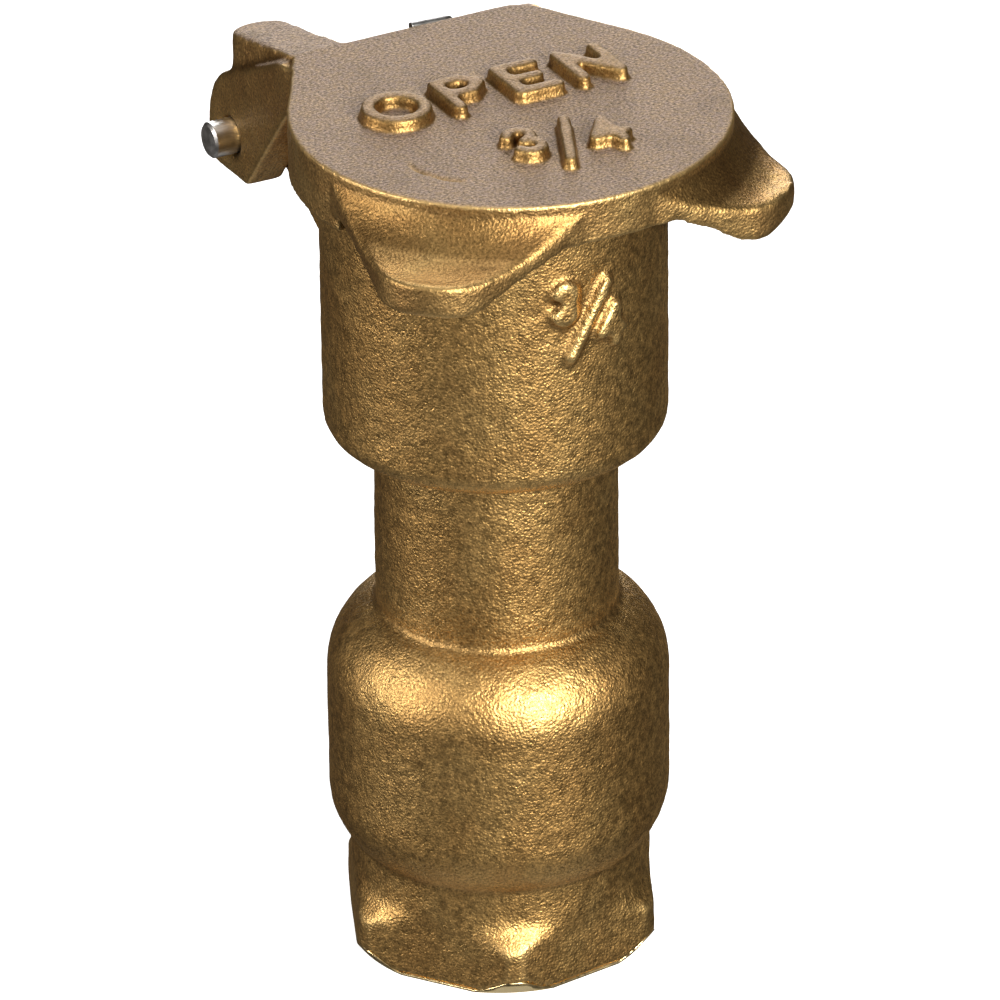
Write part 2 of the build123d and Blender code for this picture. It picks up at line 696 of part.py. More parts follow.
def snap_ring(node, z, r_out, r_in):
    """An internal retaining ring that lies on z: open, with two eyes for the pliers."""
    eyes = [(side * (RING_GAP / 2 + R_EYE), 0.4 - r_in) for side in (-1, 1)]
    with BuildPart() as ring:
        with BuildSketch(Plane.XY.offset(z)):
            Circle(r_out)
            Circle(r_in, mode=Mode.SUBTRACT)
            with Locations((0, -r_out)):
                Rectangle(RING_GAP, 2 * (r_out - r_in) + 4, mode=Mode.SUBTRACT)
            with Locations(*eyes):
                Circle(R_EYE)
            with Locations(*eyes):
                Circle(R_EYE_HOLE, mode=Mode.SUBTRACT)
        extrude(amount=RING_T)
    ring.part.label = node
    export_step(ring.part, f"parts/{node}.step")


# ---------------------------------------------------------------- key seal in the cup's floor
turned_part(
    "backup_washer",
    [
        (R_WASHER_IN, Z_SEAL_POCKET),
        (R_WASHER_OUT, Z_SEAL_POCKET),
        (R_WASHER_OUT, Z_SEAL_LOW),
        (R_WASHER_IN, Z_SEAL_LOW),
    ],
)
turned_part(
    "key_seal",
    [
        (10.6, Z_SEAL_LOW),
        (R_SEAL_POCKET, Z_SEAL_LOW),
        (R_SEAL_POCKET, Z_SEAL_HIGH),
        (12.2, Z_SEAL_HIGH),
        (11.7, 70.8),
        (11.2, 70.8),
        (10.3, Z_SEAL_HIGH),
        (9.8, Z_SEAL_HIGH),
        (R_KEY_TUBE, 72.2),
        (10.2, 71.0),
    ],
)
snap_ring("seal_ring", Z_SEAL_GROOVE + 0.05, R_SEAL_GROOVE - 0.05, 11.6)

# ---------------------------------------------------------------- valve
turned_part(
    "seat_washer",
    [
        (R_STUD, Z_CUP_BASE),
        (R_WASHER_CUP, Z_CUP_BASE),
        (R_WASHER_CUP, Z_SEAT - 0.2),
        (R_WASHER_CUP - 0.2, Z_SEAT),
        (R_STUD, Z_SEAT),
    ],
)
turned_part(
    "valve_disc",
    [
        (R_STUD, Z_DISC_LOW),
        (R_VALVE - 0.8, Z_DISC_LOW),
        (R_VALVE, Z_DISC_LOW + 0.8),
        (R_VALVE, Z_SEAT - 1.3),
        (R_WASHER_CUP, Z_SEAT - 1.3),
        (R_WASHER_CUP, Z_CUP_BASE),
        (R_STUD, Z_CUP_BASE),
    ],
)
turned_part(
    "washer_plate",
    [
        (R_STUD, Z_SEAT),
        (R_SMALL_PLATE, Z_SEAT),
        (R_SMALL_PLATE, Z_SEAT + 0.8),
        (R_SMALL_PLATE - 0.4, Z_SEAT + PLATE_HEIGHT),
        (R_STUD, Z_SEAT + PLATE_HEIGHT),
    ],
)
turned_part(
    "valve_stem",
    [
        (0, 16.6),
        (R_STEM - 0.6, 16.6),
        (R_STEM, 17.2),
        (R_STEM, Z_DISC_LOW - 1.4),
        (R_STEM_COLLAR, Z_DISC_LOW - 1.4),
        (R_STEM_COLLAR, Z_DISC_LOW),
        (R_STUD, Z_DISC_LOW),
        (R_STUD, 45.2),
        (R_STUD - 0.4, 45.6),
        (0, 45.6),
    ],
)

z_nut = Z_SEAT + PLATE_HEIGHT
with BuildPart() as stem_nut:
    with BuildSketch(Plane.XY.offset(z_nut)):
        RegularPolygon(NUT_AF / 2, 6, major_radius=False)
        Circle(R_STUD, mode=Mode.SUBTRACT)
    extrude(amount=NUT_HEIGHT)
    with BuildSketch(Plane.XZ):
        with BuildLine():
            Polyline(
                (0, z_nut),
                (3.4, z_nut),
                (3.4, z_nut + NUT_HEIGHT - 0.4),
                (2.8, z_nut + NUT_HEIGHT),
                (0, z_nut + NUT_HEIGHT),
                (0, z_nut),
            )
        make_face()
    revolve(axis=Axis.Z, mode=Mode.INTERSECT)

stem_nut.part.label = "stem_nut"
export_step(stem_nut.part, "parts/stem_nut.step")

# spider that guides the stem and carries the spring

guide_top = GUIDE_LOW + GUIDE_T
with BuildPart() as spring_guide:
    with BuildSketch(Plane.XY.offset(GUIDE_LOW)):
        Circle(R_GUIDE)
        Circle(R_GUIDE_RING_IN, mode=Mode.SUBTRACT)
        Circle(R_HUB)
        for turn in (0, 120, 240):
            with Locations(around(9.0, turn)):
                Rectangle(4.0, ARM_WIDTH, rotation=turn)
    extrude(amount=GUIDE_T)
    with BuildSketch(Plane.XY.offset(guide_top)):
        Circle(R_SPIGOT)
    extrude(amount=SPIGOT_HEIGHT)
    with BuildSketch(Plane.XY.offset(GUIDE_LOW)):
        Circle(R_STEM + PIN_FIT)
    extrude(amount=GUIDE_T + SPIGOT_HEIGHT, mode=Mode.SUBTRACT)

spring_guide.part.label = "spring_guide"
export_step(spring_guide.part, "parts/spring_guide.step")

snap_ring("guide_ring", Z_GUIDE_GROOVE + 0.1, R_GUIDE_GROOVE - 0.05, 10.9)

# compression spring between the spider and the valve disc

spring_low = guide_top + SPRING_WIRE_R + SPRING_GAP
spring_high = Z_DISC_LOW - SPRING_WIRE_R - SPRING_GAP
with BuildPart() as valve_spring:
    spring_length = spring_high - spring_low
    path = Pos(0, 0, spring_low) * Helix(spring_length / SPRING_TURNS, spring_length, SPRING_R)
    with BuildSketch(Plane(path @ 0, z_dir=path % 0)) as spring_wire:
        Circle(SPRING_WIRE_R)
    sweep(spring_wire.sketch, path=path, is_frenet=True)

valve_spring.part.label = "valve_spring"
export_step(valve_spring.part, "parts/valve_spring.step")
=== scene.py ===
import math

import bmesh
import bpy
import numpy as np
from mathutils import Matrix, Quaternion, Vector
from mathutils.bvhtree import BVHTree


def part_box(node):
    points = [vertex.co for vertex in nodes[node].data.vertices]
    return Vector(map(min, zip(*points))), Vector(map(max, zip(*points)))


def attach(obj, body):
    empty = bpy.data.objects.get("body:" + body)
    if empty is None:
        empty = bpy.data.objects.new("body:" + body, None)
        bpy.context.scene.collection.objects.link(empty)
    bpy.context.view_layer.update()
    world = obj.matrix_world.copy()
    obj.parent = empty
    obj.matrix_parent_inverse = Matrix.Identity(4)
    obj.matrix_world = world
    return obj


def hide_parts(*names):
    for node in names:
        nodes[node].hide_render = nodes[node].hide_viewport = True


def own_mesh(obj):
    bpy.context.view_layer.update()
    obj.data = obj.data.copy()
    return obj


MM = 0.001
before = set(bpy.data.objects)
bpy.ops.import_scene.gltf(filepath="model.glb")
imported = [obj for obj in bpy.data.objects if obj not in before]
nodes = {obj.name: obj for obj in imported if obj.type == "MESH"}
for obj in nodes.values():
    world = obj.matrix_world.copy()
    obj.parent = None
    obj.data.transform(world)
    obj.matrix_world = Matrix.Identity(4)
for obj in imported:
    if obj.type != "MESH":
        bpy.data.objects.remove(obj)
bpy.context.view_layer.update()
scene = bpy.context.scene

# ---------------------------------------------------------------- camera

VIEW_AZIMUTH = math.radians(-28.0)
VIEW_ELEVATION = math.radians(28.23)
VIEW_DISTANCE = 1.043
VIEW_ROLL = -0.0106
VIEW_AIM_Z = 0.054
LIGHT_AIM_Z = 0.055


def polar(azimuth, elevation):
    """The direction from the valve to a place at that azimuth and elevation, in radians."""
    flat = math.cos(elevation)
    return Vector((math.sin(azimuth) * flat, -math.cos(azimuth) * flat, math.sin(elevation)))


camera_data = bpy.data.cameras.new("camera")
camera_data.lens = 318.5
camera_data.sensor_width = 36.0
camera_data.shift_x = 0.00345
camera_data.shift_y = 0.0199
camera_data.clip_start = 0.05
camera_data.clip_end = 50.0
camera = bpy.data.objects.new("camera", camera_data)
scene.collection.objects.link(camera)
to_camera = polar(VIEW_AZIMUTH, VIEW_ELEVATION)
camera.location = Vector((0.0, 0.0, VIEW_AIM_Z)) + to_camera * VIEW_DISTANCE
camera.rotation_mode = "QUATERNION"
camera.rotation_quaternion = (-to_camera).to_track_quat("-Z", "Y") @ Quaternion((0.0, 0.0, 1.0), VIEW_ROLL)
scene.camera = camera
scene.view_settings.view_transform = "Standard"

# ---------------------------------------------------------------- repeatable noise


def lattice(ix, iy, iz, seed):
    """A fixed random number from 0 to 1 for each point of a whole-number grid."""
    mask = np.uint64(0xFFFFFFFF)
    h = ix * np.uint64(374761393) + iy * np.uint64(668265263) + iz * np.uint64(2246822519)
    h = (h + np.uint64(seed * 974634777)) & mask
    h = ((h ^ (h >> np.uint64(13))) * np.uint64(1274126177)) & mask
    h = ((h ^ (h >> np.uint64(16))) * np.uint64(2654435761)) & mask
    return ((h ^ (h >> np.uint64(15))) & np.uint64(0xFFFF)).astype(float) / 65535.0


def noise(points, size, seed):
    """Smooth noise from -1 to 1 at points, with lumps of about that size."""
    p = points / size + 4096.0
    cell = np.floor(p)
    f = p - cell
    f = f * f * f * (f * (f * 6.0 - 15.0) + 10.0)
    i = cell.astype(np.uint64)
    total = np.zeros(len(points))
    for dx in (0, 1):
        wx = f[:, 0] if dx else 1.0 - f[:, 0]
        for dy in (0, 1):
            wy = f[:, 1] if dy else 1.0 - f[:, 1]
            for dz in (0, 1):
                wz = f[:, 2] if dz else 1.0 - f[:, 2]
                corner = lattice(
                    i[:, 0] + np.uint64(dx), i[:, 1] + np.uint64(dy), i[:, 2] + np.uint64(dz), seed
                )
                total += wx * wy * wz * corner
    return total * 2.0 - 1.0


# ---------------------------------------------------------------- meshes


def points_of(mesh):
    co = np.empty(len(mesh.vertices) * 3, np.float32)
    mesh.vertices.foreach_get("co", co)
    return co.reshape(-1, 3).astype(float)


def normals_of(mesh):
    n = np.empty(len(mesh.vertices) * 3, np.float32)
    mesh.vertices.foreach_get("normal", n)
    return n.reshape(-1, 3).astype(float)


def edges_of(mesh):
    e = np.empty(len(mesh.edges) * 2, np.int32)
    mesh.edges.foreach_get("vertices", e)
    return e.reshape(-1, 2)


def move_points(mesh, co):
    mesh.vertices.foreach_set("co", co.astype(np.float32).ravel())
    mesh.update()


def neighbour_mean(values, edges):
    """For each vertex, the mean of values over the vertices it shares an edge with."""
    count = np.bincount(edges.ravel(), minlength=len(values)).clip(1)
    columns = values if values.ndim == 2 else values[:, None]
    out = np.empty_like(columns)
    for k in range(columns.shape[1]):
        a = np.bincount(edges[:, 0], columns[edges[:, 1], k], len(values))
        b = np.bincount(edges[:, 1], columns[edges[:, 0], k], len(values))
        out[:, k] = (a + b) / count
    return out if values.ndim == 2 else out[:, 0]


def smoothed(values, edges, rounds):
    """Values smoothed over the mesh without shrinking it: each inward step has an outward one."""
    for _ in range(rounds):
        values = values + 0.5 * (neighbour_mean(values, edges) - values)
        values = values - 0.53 * (neighbour_mean(values, edges) - values)
    return values


def softened(co, edges, share, rounds):
    """Points drawn toward their neighbours, as far as each one's share allows."""
    for _ in range(rounds):
        co = co + 0.5 * share[:, None] * (neighbour_mean(co, edges) - co)
    return co


def blurred(values, edges, rounds):
    for _ in range(rounds):
        values = 0.5 * values + 0.5 * neighbour_mean(values, edges)
    return values


def add_attribute(mesh, name, values):
    attribute = mesh.attributes.new(name, "FLOAT", "POINT")
    attribute.data.foreach_set("value", values.astype(np.float32))


def welded_copy(node, name):
    """The CAD node's mesh in a new object, with the vertices at one place made one vertex."""
    mesh = bpy.data.meshes.new(name)
    bm = bmesh.new()
    bm.from_mesh(nodes[node].data)
    bmesh.ops.remove_doubles(bm, verts=bm.verts, dist=0.000002)
    bm.to_mesh(mesh)
    bm.free()
    imported = mesh.attributes.get("custom_normal")
    if imported:
        mesh.attributes.remove(imported)
    obj = bpy.data.objects.new(name, mesh)
    scene.collection.objects.link(obj)
    return obj


def remeshed(obj, voxel):
    """Gives obj one even closed skin of squares of that size."""
    modifier = obj.modifiers.new("skin", "REMESH")
    modifier.mode = "VOXEL"
    modifier.voxel_size = voxel
    modifier.adaptivity = 0.0
    dg = bpy.context.evaluated_depsgraph_get()
    mesh = bpy.data.meshes.new_from_object(obj.evaluated_get(dg))
    obj.modifiers.remove(modifier)
    obj.data = mesh
    mesh.materials.clear()
    mesh.polygons.foreach_set("use_smooth", np.ones(len(mesh.polygons), bool))
    mesh.update()


def edge_and_hollow(mesh, rounds):
    """How sharply the skin stands out, above 0, or goes in, below 0, at each vertex."""
    co, normal, edges = points_of(mesh), normals_of(mesh), edges_of(mesh)
    away = co - neighbour_mean(co, edges)
    bend = (away * normal).sum(1)
    return blurred(bend, edges, rounds)


# ---------------------------------------------------------------- material nodes


class Graph:
    """A short way to write one material's nodes."""

    def __init__(self, name):
        self.material = bpy.data.materials.new(name)
        self.material.use_nodes = True
        self.nodes = self.material.node_tree.nodes
        self.links = self.material.node_tree.links
        self.shader = self.nodes["Principled BSDF"]
        self.where = self.nodes.new("ShaderNodeTexCoord").outputs["Object"]

    def feed(self, value, socket):
        if isinstance(value, bpy.types.NodeSocket):
            self.links.new(value, socket)
        else:
            socket.default_value = value

    def math(self, operation, a, b):
        node = self.nodes.new("ShaderNodeMath")
        node.operation = operation
        self.feed(a, node.inputs[0])
        self.feed(b, node.inputs[1])
        return node.outputs[0]

    def noise(self, size, detail=2.0, roughness=0.5, stretch=(1.0, 1.0, 1.0), distortion=0.0):
        """Noise whose lumps are about size metres, stretched along each axis by those factors."""
        node = self.nodes.new("ShaderNodeTexNoise")
        where = self.where
        if stretch != (1.0, 1.0, 1.0):
            mapping = self.nodes.new("ShaderNodeMapping")
            mapping.inputs["Scale"].default_value = tuple(1.0 / s for s in stretch)
            self.links.new(where, mapping.inputs["Vector"])
            where = mapping.outputs["Vector"]
        self.links.new(where, node.inputs["Vector"])
        node.inputs["Scale"].default_value = 1.0 / size
        node.inputs["Detail"].default_value = detail
        node.inputs["Roughness"].default_value = roughness
        node.inputs["Distortion"].default_value = distortion
        return node.outputs["Fac"]

    def grit(self, size):
        """Round grains of sand pressed in the metal: cells of about that size, a little uneven."""
        node = self.nodes.new("ShaderNodeTexVoronoi")
        node.feature = "SMOOTH_F1"
        self.links.new(self.where, node.inputs["Vector"])
        node.inputs["Scale"].default_value = 1.0 / size
        node.inputs["Smoothness"].default_value = 0.6
        return self.math("ADD", node.outputs["Distance"], self.noise(size * 0.7, 2.0, 0.6))

    def speckle(self, colour, value, depth):
        """Makes a colour lighter and darker with a noise whose middle is 0.5."""
        gain = self.math("ADD", self.math("MULTIPLY", value, depth), 1.0 - 0.5 * depth)
        return self.mix(1.0, colour, self.math("MAXIMUM", gain, 0.25), "MULTIPLY")

    def ramp(self, value, stops):
        """Maps a value to colours or greys at the given stops."""
        node = self.nodes.new("ShaderNodeValToRGB")
        elements = node.color_ramp.elements
        while len(elements) < len(stops):
            elements.new(0.5)
        for element, (position, colour) in zip(elements, stops):
            element.position = position
            rgb = colour if isinstance(colour, tuple) else (colour, colour, colour)
            element.color = (*rgb, 1.0)
        self.feed(value, node.inputs["Fac"])
        return node.outputs["Color"]

    def mix(self, factor, a, b, blend="MIX"):
        node = self.nodes.new("ShaderNodeMix")
        node.data_type = "RGBA"
        node.blend_type = blend
        self.feed(factor, node.inputs[0])
        for value, socket in ((a, node.inputs[6]), (b, node.inputs[7])):
            self.feed((*value, 1.0) if isinstance(value, tuple) else value, socket)
        return node.outputs[2]

    def attribute(self, name):
        node = self.nodes.new("ShaderNodeAttribute")
        node.attribute_name = name
        return node.outputs["Fac"]

    def bump(self, height, distance, strength=1.0, normal=None):
        node = self.nodes.new("ShaderNodeBump")
        node.inputs["Distance"].default_value = distance
        node.inputs["Strength"].default_value = strength
        self.links.new(height, node.inputs["Height"])
        if normal is not None:
            self.links.new(normal, node.inputs["Normal"])
        return node.outputs["Normal"]

    def finish(self, colour, roughness, metallic, normal=None):
        self.feed((*colour, 1.0) if isinstance(colour, tuple) else colour, self.shader.inputs["Base Color"])
        self.feed(roughness, self.shader.inputs["Roughness"])
        self.shader.inputs["Metallic"].default_value = metallic
        if normal is not None:
            self.links.new(normal, self.shader.inputs["Normal"])
        return self.material


def cast_skin(g, light, middle, dark):
    """Sand-cast brass: grainy, in patches, brighter on worn edges, with painted shade darkening its hollows.
    """
    colour = g.ramp(g.noise(11 * MM, 3.0, 0.6, distortion=0.6), [(0.30, dark), (0.50, middle), (0.72, light)])
    tint = g.noise(3.2 * MM, 2.0, 0.6)
    colour = g.mix(g.ramp(tint, [(0.50, 0.0), (0.72, 0.3)]), colour, (0.45, 0.262, 0.095))
    colour = g.speckle(colour, g.noise(0.30 * MM, 3.0, 0.7), 2.7)
    colour = g.mix(g.ramp(g.attribute("edge"), [(0.15, 0.0), (0.85, 0.6)]), colour, (0.68, 0.48, 0.20))
    # painted shade: darker colour in creases and hollows, where shade falls
    colour = g.mix(g.ramp(g.attribute("crease_shade"), [(0.10, 0.0), (0.90, 0.5)]), colour, (0.16, 0.09, 0.035))
    return colour


def cast_brass():
    g = Graph("cast_brass")
    colour = cast_skin(g, (0.52, 0.338, 0.127), (0.48, 0.298, 0.106), (0.43, 0.255, 0.088))
    rough = g.ramp(g.noise(0.9 * MM, 2.0), [(0.30, 0.39), (0.70, 0.52)])
    normal = g.bump(g.noise(0.9 * MM, 2.0, 0.5), 0.05 * MM, 0.8)
    normal = g.bump(g.grit(0.34 * MM), 0.06 * MM, 1.0, normal)
    return g.finish(colour, rough, 1.0, normal)


def cover_skin():
    """The same casting with its flat upper faces oxidised to a matte grey-tan."""
    g = Graph("cover_skin")
    side = cast_skin(g, (0.52, 0.35, 0.138), (0.45, 0.28, 0.105), (0.37, 0.215, 0.08))
    # painted shade: the sloping dished faces of the ears, below the plate, made darker
    side = g.mix(g.attribute("recess_shade"), side, (0.55, 0.52, 0.47), "MULTIPLY")
    # the raised letters and the blur round their feet made darker: a darker tone of the letters themselves,
    # with painted shade round their feet
    side = g.mix(g.attribute("raised"), side, (0.62, 0.60, 0.55), "MULTIPLY")
    top = g.ramp(
        g.noise(7 * MM, 3.0, 0.6),
        [(0.30, (0.29, 0.224, 0.170)), (0.52, (0.33, 0.256, 0.198)), (0.74, (0.345, 0.263, 0.190))],
    )
    hue = g.ramp(g.noise(0.7 * MM, 2.0, 0.6), [(0.36, (0.96, 0.96, 1.0)), (0.64, (1.0, 0.97, 0.86))])
    top = g.mix(1.0, top, hue, "MULTIPLY")
    top = g.speckle(top, g.noise(0.30 * MM, 3.0, 0.75, stretch=(1.2, 0.9, 1.0)), 4.2)
    flat = g.attribute("flat_top")
    colour = g.mix(flat, side, top)
    rough = g.ramp(flat, [(0.0, 0.46), (1.0, 0.72)])
    normal = g.bump(g.noise(0.9 * MM, 2.0, 0.5), 0.04 * MM, 0.7)
    normal = g.bump(g.grit(0.34 * MM), 0.05 * MM, 0.9, normal)
    return g.finish(colour, rough, 1.0, normal)


def turned_brass():
    """Brass from the lathe: bright, with fine rings round the valve's axis."""
    g = Graph("turned_brass")
    tone = g.noise(6 * MM, 2.0)
    colour = g.ramp(tone, [(0.3, (0.74, 0.56, 0.27)), (0.7, (0.83, 0.67, 0.36))])
    rings = g.noise(0.30 * MM, 1.0, 0.5, stretch=(60.0, 60.0, 1.0))
    rough = g.ramp(g.noise(0.8 * MM, 2.0), [(0.3, 0.24), (0.7, 0.38)])
    return g.finish(colour, rough, 1.0, g.bump(rings, 0.01 * MM, 0.7))


def pin_steel():
    g = Graph("pin_steel")
    lines = g.noise(0.25 * MM, 2.0, 0.6, stretch=(18.0, 1.0, 1.0))
    colour = g.ramp(lines, [(0.3, (0.55, 0.545, 0.53)), (0.7, (0.74, 0.735, 0.72))])
    rough = g.ramp(g.noise(0.9 * MM, 2.0), [(0.3, 0.30), (0.7, 0.44)])
    return g.finish(colour, rough, 1.0, g.bump(lines, 0.006 * MM, 0.6))


def spring_steel():
    g = Graph("spring_steel")
    colour = g.ramp(g.noise(1.5 * MM, 2.0), [(0.3, (0.16, 0.155, 0.15)), (0.7, (0.30, 0.295, 0.285))])
    rough = g.ramp(g.noise(0.5 * MM, 2.0), [(0.3, 0.30), (0.7, 0.46)])
    return g.finish(colour, rough, 1.0, g.bump(g.noise(0.25 * MM, 2.0), 0.01 * MM, 0.6))


def seal_rubber():
    g = Graph("seal_rubber")
    colour = g.ramp(g.noise(2.0 * MM, 3.0), [(0.3, (0.012, 0.012, 0.013)), (0.7, (0.03, 0.03, 0.032))])
    rough = g.ramp(g.noise(0.7 * MM, 2.0), [(0.3, 0.50), (0.7, 0.68)])
    return g.finish(colour, rough, 0.0, g.bump(g.noise(0.35 * MM, 2.0), 0.02 * MM, 0.6))


MATERIALS = {
    "body_brass": cast_brass(),
    "cover_brass": cover_skin(),
    "turned_brass": turned_brass(),
    "pin_steel": pin_steel(),
    "spring_steel": spring_steel(),
    "seal_rubber": seal_rubber(),
}

# ---------------------------------------------------------------- cast skins


BODY_VOXEL = 0.40 * MM
COVER_VOXEL = 0.28 * MM

# body: heights above the inlet face and radii about the valve's axis
RIM_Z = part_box("body")[1].z
TOOL_REACH_R = 0.0201  # no face that a tool has cut lies outside this
SUNK_GROWS_R = 0.0160  # inside this, the sunk part of the skin reaches a little further
HEX_WALL_R = 0.0165  # the hexagon's outside lies beyond this
HEX_BLEND_Z = 0.0100  # where the hexagon blends into the round stretch
HEX_BLEND_HALF = 0.0030
HEX_FOOT_Z = 0.0008
FOOT_TOP = 0.0022  # the chamfer of the foot ends here
MACHINED_T = 0.0003  # thickness of the cut faces' own shell
SHARP_ANGLE = math.radians(35)
SKIN_SINK = 0.0006  # how far the skin goes below the cut faces
SKIN_LOW = 0.0002
BODY_BEND = 0.030 * MM  # a bend this strong counts as a full edge or hollow

# cover
TOP_Z = 0.108
COVER_X, COVER_Y = 0.0015, -0.0017
COVER_EDGE_R = 0.0262
COVER_REAR_Y = 0.0235
COVER_REAR_DROP = 0.0050  # behind COVER_REAR_Y the top slopes down this far
SCRATCH_DEPTH = 0.40 * MM
SCRATCH_WIDTH = 0.30 * MM
# start, end and sideways bend of each stroke, in mm
SCRATCHES = [
    ((-15.4, -8.5), (-14.0, -13.0), -0.5),
    ((-14.6, -12.2), (-11.7, -15.8), -0.4),
]


def radial_blocked(tree, points):
    """True for each point within reach of a tool whose level line outward meets the body's metal."""
    out = np.zeros(len(points), bool)
    for i, p in enumerate(points):
        r = math.hypot(p[0], p[1])
        if r > TOOL_REACH_R:
            continue
        if r < 1e-6:
            out[i] = True
            continue
        out[i] = tree.ray_cast(Vector(p), Vector((p[0] / r, p[1] / r, 0.0)))[0] is not None
    return out


def finish_skin(obj, body, node, slot):
    obj.data.materials.append(MATERIALS[slot])
    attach(obj, body)
    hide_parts(node)


def inside_box(co, name):
    """Points brought inside the CAD node's own box."""
    low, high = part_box(name)
    return np.clip(co, np.array(low), np.array(high))


def machined_piece(casting, tree):
    """The faces that the lathe and the tap made: the bore, the thread, the rim and the foot."""
    machined = casting.copy()
    machined.data = casting.data.copy()
    machined.name = "body_machined"
    scene.collection.objects.link(machined)
    bm = bmesh.new()
    bm.from_mesh(machined.data)
    centres = np.array([f.calc_center_median() for f in bm.faces])
    facing = np.array([f.normal for f in bm.faces])
    inside = radial_blocked(tree, centres + facing * 0.00002)
    level = np.abs(facing[:, 2]) > 0.99
    foot = (facing[:, 2] < -0.3) & (centres[:, 2] < FOOT_TOP)
    rim = level & (np.abs(centres[:, 2] - RIM_Z) < 0.00005)
    keep = inside | foot | rim
    bmesh.ops.delete(bm, geom=[f for f, k in zip(bm.faces, keep) if not k], context="FACES")
    bm.to_mesh(machined.data)
    bm.free()
    thick = machined.modifiers.new("depth", "SOLIDIFY")
    thick.thickness = MACHINED_T
    thick.offset = -1.0
    machined.data.polygons.foreach_set("use_smooth", np.ones(len(machined.data.polygons), bool))
    machined.data.set_sharp_from_angle(angle=SHARP_ANGLE)
    machined.data.materials.clear()
    machined.data.materials.append(MATERIALS["turned_brass"])
    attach(machined, "valve_body")


def body_pieces():
    """The body: a rough cast skin, sunk below a second piece wherever a tool has cut it."""
    casting = welded_copy("body", "body_casting")
    tree = BVHTree.FromObject(casting, bpy.context.evaluated_depsgraph_get())
    machined_piece(casting, tree)
    remeshed(casting, BODY_VOXEL)
    mesh = casting.data
    edges = edges_of(mesh)
    co = smoothed(points_of(mesh), edges, 5)
    radius = np.hypot(co[:, 0], co[:, 1])
    blend = (np.abs(co[:, 2] - HEX_BLEND_Z) < HEX_BLEND_HALF) & (radius > HEX_WALL_R)
    co = softened(co, edges, blurred(blend.astype(float), edges, 6), 24)
    hexagon = (co[:, 2] < HEX_BLEND_Z) & (co[:, 2] > HEX_FOOT_Z) & (radius > HEX_WALL_R)
    co = softened(co, edges, blurred(hexagon.astype(float), edges, 2), 3)
    move_points(mesh, co)
    normal = normals_of(mesh)
    hidden = radial_blocked(tree, co + normal * SKIN_SINK)
    hidden |= (co[:, 2] < 0.0003) | (normal[:, 2] < -0.3) & (co[:, 2] < FOOT_TOP)
    hidden |= (normal[:, 2] > 0.6) & (co[:, 2] > RIM_Z - SKIN_SINK) & (radius < TOOL_REACH_R)
    hidden |= (blurred(hidden.astype(float), edges, 1) > 0.1) & (radius < SUNK_GROWS_R)
    shown = blurred((~hidden).astype(float), edges, 2)
    bend = edge_and_hollow(mesh, 2)
    lumps = 0.05 * noise(co, 5 * MM, 1) + 0.035 * noise(co, 1.9 * MM, 2) + 0.03 * noise(co, 0.9 * MM, 3)
    co = co + normal * (lumps * MM * shown)[:, None]
    co[hidden] -= normal[hidden] * SKIN_SINK
    co[:, 2] = co[:, 2].clip(SKIN_LOW, None)
    move_points(mesh, inside_box(co, "body"))
    add_attribute(mesh, "edge", (bend / BODY_BEND).clip(0, 1))
    # painted shade: how deep in a crease each vertex lies, for darkening its colour
    add_attribute(mesh, "crease_shade", (-bend / BODY_BEND).clip(0, 1))
    finish_skin(casting, "valve_body", "body", "body_brass")


def scratched(co):
    """From 0 to 1, how deep each point lies in an old scratch on the plate's top, two strokes."""
    depth = np.zeros(len(co))
    for start, end, bend in SCRATCHES:
        start, end = np.array(start) * MM, np.array(end) * MM
        along = end - start
        length = np.linalg.norm(along)
        along = along / length
        t = ((co[:, :2] - start) @ along) / length
        across = (co[:, :2] - start) @ np.array((-along[1], along[0]))
        across = across - bend * MM * 4.0 * t * (1.0 - t)
        inside = ((t > 0.0) & (t < 1.0)) * np.sin(np.pi * t.clip(0.0, 1.0)) ** 0.5
        depth = np.maximum(depth, inside * np.exp(-((across / SCRATCH_WIDTH) ** 2)))
    return depth * (co[:, 2] > TOP_Z - 0.0003)


